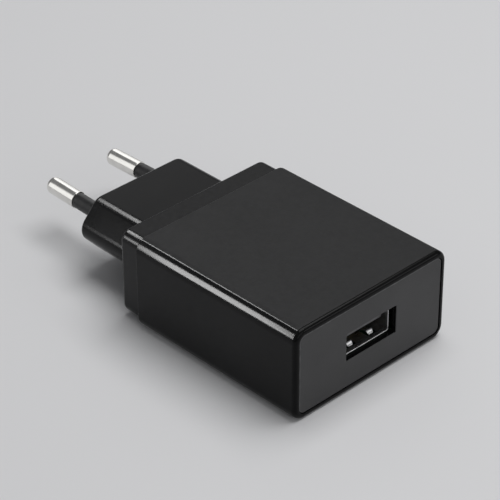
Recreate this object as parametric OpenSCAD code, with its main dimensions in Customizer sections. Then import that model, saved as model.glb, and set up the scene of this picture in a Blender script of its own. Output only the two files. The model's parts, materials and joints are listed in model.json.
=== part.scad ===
// Two-pin plug-in USB wall charger, lying on its large face.
// X runs across the pins, Y from the USB face to the pin tips, Z up from the underside.
// The origin is the middle of the resting outline. Dimensions are in millimetres.

/* [Housing] */
// Width of the housing across the pins
body_w = 44; // [40:0.5:50]
// Thickness of the housing
body_h = 21.8; // [20:0.1:28]
// Length of the housing sleeve
sleeve_l = 46.6; // [44:0.1:60]
// Corner radius of the housing section
corner_r = 3; // [2.2:0.1:5]
// Wall thickness of the sleeve
wall = 1.8; // [1.4:0.1:2.4]
// Radius of the sleeve's front edge
lip_round = 1; // [0.4:0.1:1.2]
// Distance from the side of the sleeve to the seam of the top panel
seam_inset = 1.7; // [1:0.1:4]
// Thickness of the top panel
panel_t = 0.8; // [0.5:0.1:1]

/* [Front plate] */
// Width of the sleeve's lip around the front plate
lip_w = 1.4; // [1:0.1:2]
// Thickness of the front plate
plate_t = 1.4; // [1:0.1:2]
// Bevel around the front plate
plate_bevel = 0.35; // [0.1:0.05:0.6]
// Width of the opening for the USB plug
port_w = 14.5; // [13.4:0.1:15]
// Height of the opening for the USB plug
port_h = 6.6; // [5.8:0.1:7]
// How far the middle of the opening lies above the middle of the USB shell
port_rise = 0.35; // [0:0.05:0.5]

/* [Plug] */
// Length of the stepped rear cap
cap_l = 5.9; // [3:0.1:9]
// Length of the plug neck, enough to reach the bottom of a recessed socket
neck_l = 18.5; // [17.5:0.1:22]
// Diameter of the bare part of each pin
pin_d = 4; // [3.9:0.01:4.1]
// Diameter of the insulating sleeve on each pin
sleeve_d = 3.65; // [3.4:0.05:3.9]
// Length of each pin beyond the neck
pin_l = 19; // [18.5:0.1:19.5]
// Length of each pin covered by its insulating sleeve
insulated_l = 9.3; // [8:0.1:10]
// Spacing of the pins where they leave the neck
pin_base_gap = 18.6; // [18:0.1:19.2]
// Spacing of the pins at their tips
pin_tip_gap = 17.5; // [17:0.1:18]

/* [Hidden] */
$fn = 48;

total_l = sleeve_l + cap_l + neck_l + pin_l;
front_y = -total_l / 2;
mid_z = body_h / 2;
neck_end = sleeve_l + cap_l + neck_l;
pin_tilt = atan((pin_base_gap - pin_tip_gap) / 2 / pin_l);
gap = 0.05;

// cap section and its wall
cap_w = body_w - 2;
cap_h = body_h - 1.4;
cap_r = corner_r - 0.6;
cap_round = 0.9;
cap_wall = 1.6;
spigot_l = 3;

// rounded six-sided section of the plug neck
hex_r = 3;
hex_a = 10.7;
hex_b = 3.5;
hex_c = 13.85;
neck_wall = 1.8;
end_wall = 3.5;

// circuit board
board_w = 36;
board_t = 1.2;
board_z = 6.2;
board_top = board_z + board_t;
board_y0 = 2.4;
board_y1 = 49.4;

// USB receptacle
shell_w = 13.2;
shell_h = 5.72;
shell_t = 0.3;
shell_y = plate_t + 0.1;
shell_l = 14;
shell_bottom = mid_z - shell_h / 2;
shell_top = mid_z + shell_h / 2;
tongue_w = 11.1;
tongue_h = 1.84;
tongue_z = shell_top - shell_t - 0.665 - tongue_h;
tongue_y = shell_y + 1.2;
groove_y = 5.4;
block_y = 13.1;
tail_y = shell_y + shell_l + 0.45;
contact_x = [-3.5, -1, 1, 3.5];
contact_w = 1;
groove_d = 1.1;
pivot_y = 12.9;
pivot_z = tongue_z + 0.45;
leaf_w = 1.9;
leaf_x = 3;
leaf_tip = 3;
leaf_root = 9.6;
slot_gap = 0.3;

// transformer
core_x = 2.5;
core_y = 26;
core_z = 13.5;
core_w = 16;
core_l = 15;
core_h = 5;
core_t = 2.2;
spool_l = core_l - 2 * core_t - 0.4;

// ---- helpers ----

// stands a flat outline up and pushes it along Y
module along_y(y0, len) {
  translate([0, y0 + len, 0]) rotate([90, 0, 0]) linear_extrude(len) children();
}

module soft_rect(w, h, r) {
  square([w - 2 * r, h], center = true);
  square([w, h - 2 * r], center = true);
  for (sx = [-1, 1]) for (sz = [-1, 1]) {
    translate([sx * (w / 2 - r), sz * (h / 2 - r)]) circle(r);
  }
}

module quarter(f) {
  intersection() {
    circle(f);
    square(f);
  }
}

// rounds the front edge of a soft block; the block itself starts f further in
module round_front(w, h, r, f) {
  along_y(0, f) soft_rect(w - 2 * f, h - 2 * f, r - f);
  for (sx = [0, 1]) mirror([sx, 0, 0]) for (sz = [0, 1]) mirror([0, 0, sz]) {
    translate([w / 2 - f, f, 0]) linear_extrude(h / 2 - r) mirror([0, 1]) quarter(f);
    translate([0, f, h / 2 - f]) rotate([90, 0, 90]) linear_extrude(w / 2 - r)
      mirror([1, 0]) quarter(f);
    translate([w / 2 - r, f, h / 2 - r]) rotate([90, 0, 0]) rotate_extrude(angle = 90)
      translate([r - f, 0]) quarter(f);
  }
}

// a rectangular bar with rounded corners; f0 and f1 round its two end edges
module soft_block(w, h, r, len, f0, f1) {
  along_y(f0, len - f0 - f1) soft_rect(w, h, r);
  if (f0 > 0) round_front(w, h, r, f0);
  if (f1 > 0) translate([0, len, 0]) mirror([0, 1, 0]) round_front(w, h, r, f1);
}

// rounded six-sided outline, e smaller all round
module plug_outline(e) {
  r = hex_r;
  len = sqrt(hex_b * hex_b + (hex_c - hex_a) * (hex_c - hex_a));
  b = hex_b - e;
  a = hex_a - e * (len - hex_c + hex_a) / hex_b;
  c = hex_c - e * len / hex_b;
  nx = r * hex_b / len;
  nz = r * (hex_c - hex_a) / len;
  for (s = [0, 1]) mirror([s, 0]) for (t = [0, 1]) mirror([0, t]) {
    polygon([[0, 0], [0, b + r], [a, b + r], [a + nx, b + nz], [c + nx, nz], [c + r, 0]]);
    translate([a, b]) circle(r);
    translate([c, 0]) circle(r);
  }
}

// puts a pin part, drawn along Z from the neck's end face, in its place
module at_pin(side) {
  translate([side * pin_base_gap / 2, neck_end, 0]) rotate([0, 0, side * pin_tilt])
    rotate([-90, 0, 0]) children();
}

module tube(r1, r0, z0, z1) {
  rotate_extrude() translate([r0, z0]) square([r1 - r0, z1 - z0]);
}

// ---- housing ----

module housing_sleeve() {
  cav_w = body_w - 2 * wall;
  cav_h = body_h - 2 * wall;
  rib_x = board_w / 2 - 1.2;
  color([0.06, 0.06, 0.065]) translate([0, front_y, mid_z]) {
    difference() {
      soft_block(body_w, body_h, corner_r, sleeve_l, lip_round, 0.3);
      along_y(-1, sleeve_l + 2) soft_rect(cav_w, cav_h, 1.3);
      along_y(-1, plate_t + 1.1)
        soft_rect(body_w - 2 * lip_w + 2 * gap, body_h - 2 * lip_w + 2 * gap, 1.7);
      translate([-body_w / 2 + seam_inset - gap, lip_round, body_h / 2 - panel_t])
        cube([body_w - 2 * seam_inset + 2 * gap, sleeve_l, 2]);
    }
    // guide rails above and below each side of the board
    for (s = [0, 1]) mirror([s, 0, 0]) for (z = [board_z - 1.1, board_top + 0.1]) {
      translate([rib_x, 6, z - mid_z]) cube([cav_w / 2 - rib_x + 0.1, 32, 1]);
    }
  }
}

module top_panel() {
  color([0.09, 0.09, 0.095]) translate([0, front_y, mid_z]) intersection() {
    along_y(lip_round + gap, sleeve_l - lip_round - gap)
      soft_rect(body_w, body_h, corner_r);
    translate([-body_w / 2 + seam_inset, 0, body_h / 2 - panel_t])
      cube([body_w - 2 * seam_inset, sleeve_l + 1, 2]);
  }
}

module face_plate() {
  w = body_w - 2 * lip_w;
  h = body_h - 2 * lip_w;
  r = 1.65;
  color([0.12, 0.12, 0.125]) translate([0, front_y + 0.1, mid_z]) difference() {
    union() {
      along_y(plate_bevel, plate_t - plate_bevel) soft_rect(w, h, r);
      round_front(w, h, r, plate_bevel);
    }
    translate([0, 0, port_rise]) along_y(-1, plate_t + 2) soft_rect(port_w, port_h, 0.5);
  }
}

module rear_cap() {
  cav_w = body_w - 2 * wall;
  cav_h = body_h - 2 * wall;
  color([0.07, 0.07, 0.075]) translate([0, front_y, mid_z]) difference() {
    union() {
      translate([0, sleeve_l, 0]) soft_block(cap_w, cap_h, cap_r, cap_l, 0, cap_round);
      along_y(sleeve_l - spigot_l, spigot_l + 1)
        soft_rect(cav_w - 2 * gap, cav_h - 2 * gap, 1.25);
      along_y(sleeve_l + cap_l - 1, neck_l + 1) plug_outline(0);
    }
    along_y(sleeve_l - spigot_l - 1, spigot_l + cap_l + 1 - cap_wall)
      soft_rect(cav_w - 2 * cap_wall, cav_h - 2 * cap_wall, 1);
    along_y(sleeve_l, cap_l + neck_l - end_wall) plug_outline(neck_wall);
    for (s = [-1, 1]) at_pin(s) translate([0, 0, -6]) cylinder(h = 8, r = pin_d / 2 + 0.02);
  }
}

// ---- plug pins ----

// solid pin: tail, stop collar, shank in the neck, thinner insulated part, bare end
module pin_part(side) {
  tip = 1.5;
  r = pin_d / 2;
  color([0.82, 0.81, 0.78]) translate([0, front_y, mid_z]) at_pin(side) rotate_extrude() {
    translate([0, -13]) square([1.2, 9.2]);
    translate([0, -end_wall - 0.9]) square([2.8, 0.9]);
    translate([0, -end_wall]) square([r, end_wall - 0.8]);
    translate([0, -0.9]) square([1.5, insulated_l + 1]);
    translate([0, insulated_l]) square([r, pin_l - insulated_l - tip]);
    translate([0, pin_l - tip - 0.1]) square([r - tip, tip + 0.1]);
    translate([r - tip, pin_l - tip]) quarter(tip);
  }
}

module pin_left() {
  pin_part(-1);
}

module pin_right() {
  pin_part(1);
}

module pin_cover(side) {
  color([0.05, 0.05, 0.055]) translate([0, front_y, mid_z]) at_pin(side)
    tube(sleeve_d / 2, 1.52, -0.78, insulated_l - 0.02);
}

module pin_sleeve_left() {
  pin_cover(-1);
}

module pin_sleeve_right() {
  pin_cover(1);
}

// spring strip from the board to a pin's tail
module mains_contact(side) {
  x = pin_base_gap / 2 + 12 * tan(pin_tilt) + 1.25;
  color([0.78, 0.62, 0.3]) translate([0, front_y, board_top]) mirror([side < 0 ? 1 : 0, 0, 0]) {
    translate([x, 45, 0]) cube([0.4, 16, 3.2]);
    translate([x, 57.6, 0]) cube([0.4, 3.4, 5.6]);
    translate([x - 2.4, 45, 0]) cube([2.5, 3, 0.4]);
  }
}

module mains_contact_left() {
  mains_contact(-1);
}

module mains_contact_right() {
  mains_contact(1);
}

// ---- circuit board and its parts ----

module main_board() {
  color([0.1, 0.32, 0.16]) translate([0, front_y, 0]) difference() {
    translate([-board_w / 2, board_y0, board_z]) cube([board_w, board_y1 - board_y0, board_t]);
    // isolation slot between the mains side and the low-voltage side
    translate([-9, 17.1, board_z - 1]) cube([7, 1, 4]);
    // slots for the feet of the USB shell
    for (x = [-1, 1]) for (y = [5.4, 11.6]) {
      translate([x * (shell_w / 2 - 0.15) - 0.35, y - 0.2, board_z - 1]) cube([0.7, 2, 4]);
    }
    // holes for the solder tails of the USB contacts
    for (x = contact_x) translate([x, tail_y, board_z - 1]) cylinder(h = 4, r = 0.45, $fn = 24);
    // holes for the transformer's pins
    for (x = [-5, 0, 5]) for (y = [-1, 1]) {
      translate([core_x + x, core_y + y * 6.6, board_z - 1]) cylinder(h = 4, r = 0.45, $fn = 24);
    }
  }
}

module line_fuse() {
  color([0.85, 0.82, 0.7]) translate([-3, front_y + 47.2, board_top + 1.9]) rotate([0, 90, 0]) {
    cylinder(h = 8, r = 1.75);
    translate([0, 0, -0.6]) cylinder(h = 9.2, r = 1.4);
    translate([0, 0, -2.2]) cylinder(h = 12.4, r = 0.3, $fn = 24);
    for (z = [-2.2, 9.6]) translate([-0.3, -0.3, z]) cube([2.2, 0.6, 0.6]);
  }
}

module bridge_rectifier() {
  color([0.1, 0.1, 0.11]) translate([12.9, front_y + 39.5, board_top]) {
    translate([-2.4, -3.2, 0.3]) cube([4.8, 6.4, 2.3]);
    for (x = [-1, 1]) for (y = [-1, 1]) {
      translate([x * 2.9 - 0.7, y * 2 - 0.4, 0]) cube([1.4, 0.8, 0.35]);
    }
  }
}

// one electrolytic can lying along Y: sleeve, bung end and two leads
module lying_can(x, y, r, len) {
  translate([x, y, board_top + r + 0.1]) rotate([-90, 0, 0]) rotate_extrude() {
    square([r, len - 2.4]);
    square([r - 0.35, len - 1.4]);
    translate([0, len - 1.5]) square([r, 1.5]);
  }
  for (s = [-1, 1]) translate([x + s * 1.7, y + len - 0.1, board_top + r]) {
    rotate([-90, 0, 0]) cylinder(h = 1.4, r = 0.3, $fn = 24);
    translate([0, 1.2, -r]) cylinder(h = r + 0.3, r = 0.3, $fn = 24);
  }
}

module input_capacitors() {
  color([0.12, 0.13, 0.16]) translate([0, front_y, 0]) {
    lying_can(-12.6, 18.6, 4.6, 15.4);
    lying_can(-1.6, 35.2, 4.3, 8.6);
  }
}

// drum-shaped filter choke standing on the board
module filter_choke() {
  color([0.2, 0.2, 0.22]) translate([6.6, front_y + 40, board_top]) rotate_extrude() {
    square([3.2, 1.2]);
    translate([0, 1]) square([2.7, 6]);
    translate([0, 6.8]) square([3.2, 1.2]);
  }
}

// two facing E-shaped halves with a round middle leg
module transformer_core() {
  color([0.16, 0.16, 0.17]) translate([core_x, front_y + core_y, core_z]) {
    for (s = [0, 1]) mirror([0, s, 0]) {
      translate([-core_w / 2, core_l / 2 - core_t, -core_h / 2]) cube([core_w, core_t, core_h]);
      for (x = [-core_w / 2, core_w / 2 - core_t]) {
        translate([x, 0.02, -core_h / 2]) cube([core_t, core_l / 2 - core_t, core_h]);
      }
      translate([0, core_l / 2 - core_t + 0.1, 0]) rotate([90, 0, 0])
        cylinder(h = core_l / 2 - core_t + 0.08, r = 2.1);
    }
  }
}

module transformer_bobbin() {
  color([0.75, 0.72, 0.6]) translate([core_x, front_y + core_y, 0]) {
    difference() {
      union() {
        translate([0, -spool_l / 2, core_z]) rotate([-90, 0, 0]) cylinder(h = spool_l, r = 2.9);
        for (y = [-spool_l / 2, spool_l / 2 - 0.7]) translate([0, y, core_z]) rotate([-90, 0, 0])
          cylinder(h = 0.7, r = 5.5);
      }
      translate([0, -spool_l, core_z]) rotate([-90, 0, 0]) cylinder(h = 2 * spool_l, r = 2.2);
    }
    // foot at each end with its row of pins
    for (s = [0, 1]) mirror([0, s, 0]) {
      translate([-6.5, 4.42, board_top]) cube([13, 3.08, 3.4]);
      for (x = [-5, 0, 5]) translate([x, 6.6, board_z - 0.8]) cylinder(h = 3, r = 0.35, $fn = 24);
    }
  }
}

module transformer_winding() {
  color([0.72, 0.42, 0.2]) translate([core_x, front_y + core_y, core_z]) rotate([-90, 0, 0])
    tube(4.8, 2.92, -spool_l / 2 + 0.75, spool_l / 2 - 0.75);
}

module transformer_tape() {
  color([0.85, 0.72, 0.2]) translate([core_x, front_y + core_y, core_z]) rotate([-90, 0, 0])
    tube(5.1, 4.82, -spool_l / 2 + 0.75, spool_l / 2 - 0.75);
}

// ceramic disc on edge, bridging the isolation gap
module safety_capacitor() {
  color([0.15, 0.35, 0.65]) translate([15, front_y + 24, board_top + 4.6]) {
    rotate([0, 90, 0]) translate([0, 0, -1.6]) cylinder(h = 3.2, r = 4);
    for (y = [-3.2, 3.2]) translate([0, y, -4.6]) cylinder(h = 3.2, r = 0.3, $fn = 24);
  }
}

module optocoupler() {
  color([0.11, 0.11, 0.12]) translate([13.6, front_y + 32.5, board_top]) {
    translate([-2.3, -2.2, 0.3]) cube([4.6, 4.4, 2.2]);
    for (x = [-2.9, 2.2]) for (y = [-1.5, 0.9]) translate([x, y, 0]) cube([0.7, 0.6, 1.2]);
  }
}

// small-outline chip: body and two rows of legs, hanging under the board
module so_chip(x, y, w, len, pins) {
  translate([x, y, board_z]) {
    translate([-w / 2, -len / 2, -1.6]) cube([w, len, 1.45]);
    for (i = [0:pins - 1]) for (s = [-1, 1]) {
      translate([s * (w / 2 + 0.45) - 0.5, (i - (pins - 1) / 2) * 1.27 - 0.2, -0.9])
        cube([1, 0.4, 0.9]);
    }
  }
}

module controller_chip() {
  color([0.1, 0.1, 0.11]) translate([0, front_y, 0]) so_chip(-8, 38, 3.9, 4.9, 4);
}

module output_rectifier() {
  color([0.1, 0.1, 0.11]) translate([0, front_y, 0]) so_chip(12.6, 16, 3.9, 4.9, 4);
}

// chip resistors and capacitors, each a body between two soldered ends
module chip_parts() {
  color([0.32, 0.26, 0.2]) translate([0, front_y, board_z]) {
    for (p = [[-14, 30], [-10.5, 30], [-7, 30], [-14, 43], [-1, 38], [-1, 42], [3.4, 34],
      [8.4, 15], [13, 9.6], [-12, 12], [-12, 8.6], [2, 12.6]]) {
      translate([p[0] - 0.8, p[1] - 0.4, -0.55]) cube([1.6, 0.8, 0.55]);
      for (x = [-1, 0.7]) translate([p[0] + x, p[1] - 0.45, -0.6]) cube([0.3, 0.9, 0.6]);
    }
  }
}

// two solid capacitors standing on the low-voltage side
module output_capacitors() {
  color([0.7, 0.71, 0.73]) translate([0, front_y, board_top]) for (x = [-12.6, 12.6]) {
    translate([x, 9.4, 0]) rotate_extrude() {
      square([3.3, 0.8]);
      translate([0, 0.7]) square([2.9, 1]);
      translate([0, 1.5]) square([3.15, 7.6]);
      translate([0, 9]) square([2.8, 0.3]);
    }
  }
}

module insulation_sheet() {
  color([0.82, 0.8, 0.7]) translate([-17.5, front_y + 3, wall + 0.05]) cube([35, 39, 0.3]);
}

// ---- USB receptacle ----

module usb_shell() {
  in_w = shell_w - 2 * shell_t;
  in_h = shell_h - 2 * shell_t;
  win_w = leaf_w + 2 * slot_gap;
  color([0.72, 0.72, 0.73]) translate([0, front_y + shell_y, mid_z]) {
    difference() {
      along_y(0, shell_l) soft_rect(shell_w, shell_h, 0.6);
      along_y(-1, shell_l + 2) soft_rect(in_w, in_h, 0.3);
      for (x = [-leaf_x, leaf_x]) {
        translate([x - win_w / 2, leaf_tip - slot_gap - shell_y, -shell_h])
          cube([win_w, leaf_root - leaf_tip + slot_gap, 2 * shell_h]);
      }
    }
    // feet through the board
    for (s = [0, 1]) mirror([s, 0, 0]) for (y = [5.4, 11.6]) {
      translate([shell_w / 2 - shell_t, y - shell_y, -mid_z + board_z - 0.8])
        cube([shell_t, 1.6, mid_z - board_z + 0.8]);
    }
  }
}

// insulating block with the tongue that holds the four contacts
module usb_tongue() {
  color([0.85, 0.85, 0.84]) translate([0, front_y, 0]) difference() {
    union() {
      translate([-tongue_w / 2, tongue_y, tongue_z]) cube([tongue_w, block_y - tongue_y, tongue_h]);
      translate([-6.1, block_y, shell_bottom + shell_t + 0.1]) cube([12.2, 2.2, 4.92]);
      translate([-6.1, shell_y + shell_l + 0.1, board_top]) cube([12.2, 0.7, 4]);
      translate([-6.1, block_y + 2, mid_z - 2]) cube([12.2, 1.2, 4]);
    }
    // grooves that the contacts are pressed up into
    for (x = contact_x) translate([x - contact_w / 2 - 0.12, groove_y, tongue_z - 1])
      cube([contact_w + 0.24, block_y - groove_y, groove_d + 1]);
    // bevel under the front edge of the tongue
    translate([-tongue_w, tongue_y, tongue_z - 0.5]) rotate([45, 0, 0])
      cube([2 * tongue_w, 0.7, 0.7]);
  }
}

// tails of the four contacts, down into the board
module usb_solder_tails() {
  color([0.8, 0.72, 0.45]) translate([0, front_y, 0]) for (x = contact_x) {
    translate([x - 0.3, tail_y - 0.15, board_z - 0.8]) cube([0.6, 0.3, board_t + 0.8]);
  }
}

// springy finger with its raised contact point, hinged at the block
module usb_contact(i) {
  y = pivot_y;
  z = pivot_z;
  t = 0.22;
  color([0.86, 0.7, 0.34]) translate([contact_x[i] - contact_w / 2, front_y, 0])
    rotate([90, 0, 90]) linear_extrude(contact_w)
      polygon([[y, z - t / 2], [y, z + t / 2], [y - 4.6, z - 0.42 + t], [y - 5.6, z - 0.78 + t],
        [y - 6.1, z - 0.78 + t], [y - 7.2, z - 0.18 + t], [y - 7.2, z - 0.18],
        [y - 6.1, z - 0.78], [y - 5.6, z - 0.78], [y - 4.6, z - 0.42]]);
}

module usb_contact_power() {
  usb_contact(0);
}

module usb_contact_data_minus() {
  usb_contact(1);
}

module usb_contact_data_plus() {
  usb_contact(2);
}

module usb_contact_ground() {
  usb_contact(3);
}

// spring leaf cut from the shell wall, with a raised pad near its tip
module usb_leaf(sx, sz) {
  t = shell_t;
  up = 0.65;
  y0 = leaf_tip;
  y1 = leaf_root - 0.02;
  flip = sz > 0 ? 1 : 0;
  color([0.76, 0.76, 0.77]) translate([sx * leaf_x - leaf_w / 2, front_y, mid_z])
    mirror([0, 0, flip]) rotate([90, 0, 90]) linear_extrude(leaf_w)
      translate([0, -shell_h / 2])
        polygon([[y1, 0], [y1, t], [y0 + 2.5, t + 0.1], [y0 + 1.6, t + up], [y0 + 0.8, t + up],
          [y0, t], [y0, 0.05], [y0 + 0.9, up], [y0 + 1.5, up], [y0 + 2.5, 0.08]]);
}

module usb_spring_lower_left() {
  usb_leaf(-1, -1);
}

module usb_spring_lower_right() {
  usb_leaf(1, -1);
}

module usb_spring_upper_left() {
  usb_leaf(-1, 1);
}

module usb_spring_upper_right() {
  usb_leaf(1, 1);
}

housing_sleeve();
top_panel();
face_plate();
rear_cap();
pin_left();
pin_right();
pin_sleeve_left();
pin_sleeve_right();
mains_contact_left();
mains_contact_right();
main_board();
line_fuse();
bridge_rectifier();
input_capacitors();
filter_choke();
transformer_core();
transformer_bobbin();
transformer_winding();
transformer_tape();
safety_capacitor();
optocoupler();
controller_chip();
output_rectifier();
chip_parts();
output_capacitors();
insulation_sheet();
usb_shell();
usb_tongue();
usb_solder_tails();
usb_contact_power();
usb_contact_data_minus();
usb_contact_data_plus();
usb_contact_ground();
usb_spring_lower_left();
usb_spring_lower_right();
usb_spring_upper_left();
usb_spring_upper_right();
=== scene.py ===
"""Looks for the two-pin USB wall charger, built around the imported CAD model.

Lengths in this script are in millimetres until mesh_object() turns them into metres. X runs across
the pins, Y from the USB face to the pin tips, and Z up from the underside, as in the CAD model.
"""

import json
import math

import bmesh
import bpy
from mathutils import Matrix, Vector

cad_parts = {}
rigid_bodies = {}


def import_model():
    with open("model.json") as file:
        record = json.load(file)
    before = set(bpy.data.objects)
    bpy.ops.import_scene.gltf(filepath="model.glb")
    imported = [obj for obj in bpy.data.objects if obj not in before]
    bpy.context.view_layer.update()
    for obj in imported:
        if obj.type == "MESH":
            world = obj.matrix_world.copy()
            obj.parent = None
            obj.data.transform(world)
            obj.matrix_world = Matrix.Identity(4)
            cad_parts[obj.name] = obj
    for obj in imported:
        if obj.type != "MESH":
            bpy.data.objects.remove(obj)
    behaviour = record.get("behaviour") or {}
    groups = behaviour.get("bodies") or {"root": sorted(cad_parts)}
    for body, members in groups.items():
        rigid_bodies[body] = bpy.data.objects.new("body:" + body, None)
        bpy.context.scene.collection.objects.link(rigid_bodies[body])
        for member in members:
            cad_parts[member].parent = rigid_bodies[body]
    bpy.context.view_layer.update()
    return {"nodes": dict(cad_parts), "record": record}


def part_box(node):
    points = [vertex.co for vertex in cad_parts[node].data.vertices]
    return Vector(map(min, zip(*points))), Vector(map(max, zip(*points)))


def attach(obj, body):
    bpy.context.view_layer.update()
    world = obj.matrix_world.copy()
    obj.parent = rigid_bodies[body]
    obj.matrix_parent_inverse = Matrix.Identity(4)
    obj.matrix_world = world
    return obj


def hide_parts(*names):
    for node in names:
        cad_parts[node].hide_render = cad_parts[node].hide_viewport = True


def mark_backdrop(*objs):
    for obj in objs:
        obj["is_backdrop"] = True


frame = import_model()

MM = 0.001


# ---- sizes, from the CAD model's boxes and its stated radii ----

def box_mm(node):
    low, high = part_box(node)
    return low / MM, high / MM


sleeve_low, sleeve_high = box_mm("housing_sleeve")
plate_low, plate_high = box_mm("face_plate")
panel_low, panel_high = box_mm("top_panel")
cap_low, cap_high = box_mm("rear_cap")

NECK_L = 18.5
FRONT = sleeve_low.y
SLEEVE_END = sleeve_high.y
NECK_END = cap_high.y
CAP_END = NECK_END - NECK_L
MID_Z = (sleeve_low.z + sleeve_high.z) / 2
BODY_W = sleeve_high.x - sleeve_low.x
BODY_H = sleeve_high.z - sleeve_low.z
CORNER_R = 3.0
LIP_ROUND = 1.0
LIP_W = 1.35  # width of the lip around the front plate
WALL = 1.8
CAP_W = cap_high.x - cap_low.x
CAP_H = cap_high.z - cap_low.z
CAP_R = 2.4
CAP_ROUND = 0.9
CAP_WALL = 1.6
SPIGOT_Y = cap_low.y
PANEL_HALF = panel_high.x
PANEL_FLOOR = panel_low.z - MID_Z
PLATE_R = 1.65
PORT_W = 14.5
PORT_H = 6.6
PORT_R = 0.5
PORT_Z = MID_Z + 0.35
SEAM_GAP = 0.05
MICRO = 0.12  # the finest edge rounding
PANEL_EDGE = 0.26

# the neck's six-sided section is a hexagon with corners at (A, B) and (C, 0), rounded by R
HEX_R = 3.0
HEX_A = 10.7
HEX_B = 3.5
HEX_C = 13.85
NECK_WALL = 1.8
END_WALL = 3.5
FLARE = 0.9
NECK_ROUND = 1.2

PIN_R = 2.0
PIN_L = 19.0
INSULATED_L = 9.3
PIN_BASE_SPACING = 18.6
PIN_TIP_SPACING = 17.5
PIN_X = PIN_BASE_SPACING / 2
PIN_TILT = math.atan((PIN_BASE_SPACING - PIN_TIP_SPACING) / 2 / PIN_L)
PIN_NECK_R = 1.5  # where the pin sleeve sits
PIN_HOLE_R = 2.02
PIN_SLEEVE_R = 1.825

SHELL_W = 13.2
SHELL_H = 5.72
SHELL_T = 0.3
SHELL_Y = FRONT + 1.5
SHELL_L = 14.0
LEAF_X = 3.0
LEAF_W = 1.9
LEAF_TIP = 3.0
LEAF_ROOT = 9.58
LEAF_PAD = 0.65  # how far the pad stands above the shell's wall
WINDOW_HALF = LEAF_W / 2 + 0.3
WINDOW_START = FRONT + LEAF_TIP - 0.3
WINDOW_END = FRONT + 9.6
CONTACT_X = {"power": -3.5, "data_minus": -1.0, "data_plus": 1.0, "ground": 3.5}
CONTACT_W = 1.0
CONTACT_L = 7.2
CONTACT_ROOT = FRONT + 12.9
TONGUE_W = 11.1
TONGUE_Y = SHELL_Y + 1.2
TONGUE_LOW = MID_Z + 0.055
TONGUE_HIGH = TONGUE_LOW + 1.84
GROOVE_Y = FRONT + 5.4
GROOVE_HALF = CONTACT_W / 2 + 0.12
GROOVE_DEPTH = 1.1
BLOCK_HALF_W = 6.1
BLOCK_Y = FRONT + 13.1


# ---- mesh helpers ----

SHARP_ANGLE = 34


def link(obj):
    bpy.context.scene.collection.objects.link(obj)
    return obj


def mesh_object(name, bm):
    """A smooth-shaded object from a bmesh in millimetres. Edges sharper than SHARP_ANGLE stay crisp."""
    bmesh.ops.remove_doubles(bm, verts=bm.verts, dist=0.0008)
    bmesh.ops.dissolve_degenerate(bm, edges=bm.edges, dist=0.0005)
    bmesh.ops.recalc_face_normals(bm, faces=bm.faces)
    bmesh.ops.scale(bm, vec=(MM, MM, MM), verts=bm.verts)
    mesh = bpy.data.meshes.new(name)
    bm.to_mesh(mesh)
    bm.free()
    mesh.shade_smooth()
    mesh.set_sharp_from_angle(angle=math.radians(SHARP_ANGLE))
    obj = link(bpy.data.objects.new(name, mesh))
    weighted = obj.modifiers.new("weighted_normals", "WEIGHTED_NORMAL")
    weighted.keep_sharp = True
    weighted.weight = 80
    return obj


def add_ring(bm, points):
    return [bm.verts.new(p) for p in points]


def bridge(bm, ring_a, ring_b):
    count = len(ring_a)
    for i in range(count):
        j = (i + 1) % count
        corners = (ring_a[i], ring_a[j], ring_b[j], ring_b[i])
        bm.faces.new(corners)


def loft(bm, rings, closed=False):
    """Joins rings of equal length, one to the next, and the last to the first when closed."""
    made = [add_ring(bm, ring) for ring in rings]
    for ring_a, ring_b in zip(made, made[1:]):
        bridge(bm, ring_a, ring_b)
    if closed:
        bridge(bm, made[-1], made[0])
    return made


def ring_edges(bm, ring):
    edges = []
    for a, b in zip(ring, ring[1:] + ring[:1]):
        edge = bm.edges.get((a, b))
        if edge is None:
            edge = bm.edges.new((a, b))
        edges.append(edge)
    return edges


def fill_flat(bm, rings):
    """Fills the flat region between one outer ring and any rings inside it."""
    edges = []
    for ring in rings:
        edges += ring_edges(bm, ring)
    bmesh.ops.triangle_fill(bm, use_beauty=True, use_dissolve=False, edges=edges)


def mix(a, b, t):
    return a + (b - a) * t


def ease(t):
    """A smooth step from 0 to 1."""
    t = min(max(t, 0), 1)
    return 0.5 - 0.5 * math.cos(math.pi * t)


def spread(low, high, count):
    """Evenly spaced values from low to high, both included."""
    return [low + (high - low) * k / (count - 1) for k in range(count)]


def add_box(bm, low, high):
    size = [h - l for l, h in zip(low, high)]
    middle = [(h + l) / 2 for l, h in zip(low, high)]
    made = bmesh.ops.create_cube(bm, size=1)
    bmesh.ops.scale(bm, vec=size, verts=made["verts"])
    bmesh.ops.translate(bm, vec=middle, verts=made["verts"])


# ---- outlines in the XZ plane ----

CORNER_STEPS = 13


def soft_rect(width, height, radius, y, z=MID_Z):
    """A rounded rectangle standing at y, as a ring of points."""
    points = []
    for centre_angle, sx, sz in ((0, 1, 1), (90, -1, 1), (180, -1, -1), (270, 1, -1)):
        for angle in spread(centre_angle, centre_angle + 90, CORNER_STEPS):
            a = math.radians(angle)
            x = sx * (width / 2 - radius) + radius * math.cos(a)
            points.append((x, y, z + sz * (height / 2 - radius) + radius * math.sin(a)))
    return points


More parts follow.
